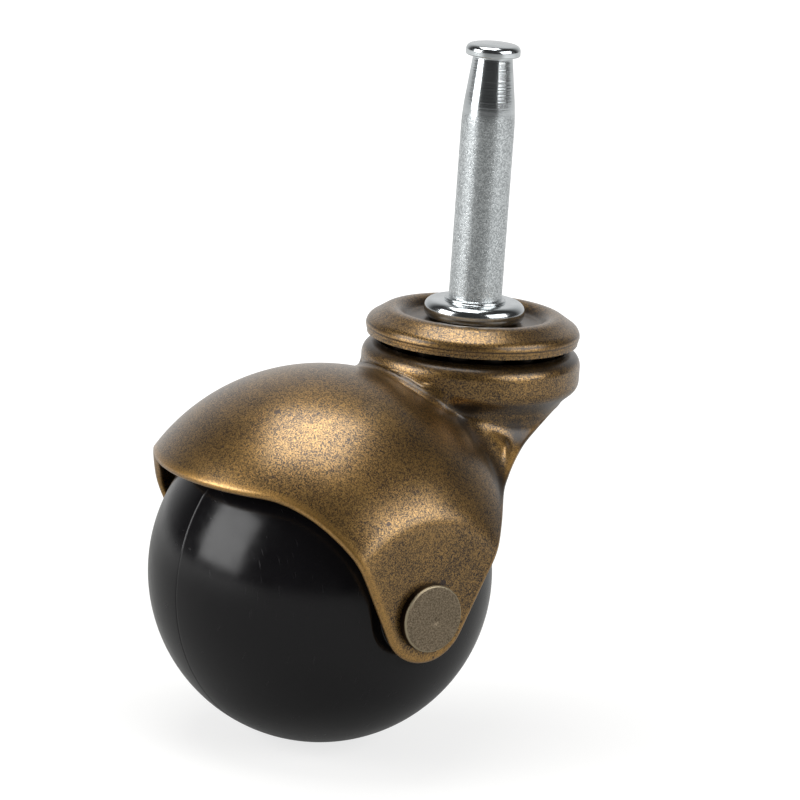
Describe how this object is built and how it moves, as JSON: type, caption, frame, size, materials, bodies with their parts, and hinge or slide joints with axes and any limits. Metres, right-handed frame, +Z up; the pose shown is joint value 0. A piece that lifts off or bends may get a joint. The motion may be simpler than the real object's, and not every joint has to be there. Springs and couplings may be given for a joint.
{
  "type": "ball castor",
  "caption": "Hooded ball castor: a glossy black ball wheel under a pressed antique-brass hood that swivels on a bright grip-neck stem.",
  "frame": {"origin": "foot of the stem's grip, on the stem's axis, at the top of the small ring on the collar", "axes": "+Z up along the stem, -X towards the trailing ball, Y along the axle"},
  "size_m": [0.0673, 0.0568, 0.1033],
  "materials": {
    "zinc_plate": "bright zinc plate",
    "antique_brass": "antique brass plate on pressed steel, satin",
    "race_steel": "plain pressed steel",
    "bearing_steel": "polished and greased",
    "pewter_rivet": "dark pewter",
    "black_ball": "glossy moulded"
  },
  "bodies": {
    "stem_set": {"stem": "zinc_plate", "swivel_cap": "antique_brass", "upper_race": "antique_brass", "retaining_washer": "race_steel"},
    "hood_set": {"hood": "antique_brass", "axle_rivet": "pewter_rivet", "axle_sleeve": "race_steel"},
    "wheel": {"ball_wheel": "black_ball"},
    "ball_ring": {"bearing_ball_01": "bearing_steel", "bearing_ball_02": "bearing_steel", "bearing_ball_03": "bearing_steel", "bearing_ball_04": "bearing_steel", "bearing_ball_05": "bearing_steel", "bearing_ball_06": "bearing_steel", "bearing_ball_07": "bearing_steel", "bearing_ball_08": "bearing_steel", "bearing_ball_09": "bearing_steel", "bearing_ball_10": "bearing_steel", "bearing_ball_11": "bearing_steel", "bearing_ball_12": "bearing_steel", "bearing_ball_13": "bearing_steel", "bearing_ball_14": "bearing_steel", "bearing_ball_15": "bearing_steel", "bearing_ball_16": "bearing_steel"}
  },
  "joints": [
    {"name": "swivel", "type": "hinge", "parent": "stem_set", "child": "hood_set", "pos_m": [0, 0, -0.0071], "axis": [0, 0, 1], "continuous": true},
    {"name": "wheel_roll", "type": "hinge", "parent": "hood_set", "child": "wheel", "pos_m": [-0.0251, 0, -0.0395], "axis": [0, 1, 0], "continuous": true},
    {"name": "ball_ring_orbit", "type": "hinge", "parent": "stem_set", "child": "ball_ring", "pos_m": [0, 0, -0.00596], "axis": [0, 0, 1], "continuous": true}
  ],
  "couplings": [
    {"joint": "ball_ring_orbit", "follows": "swivel", "ratio": 0.5}
  ]
}
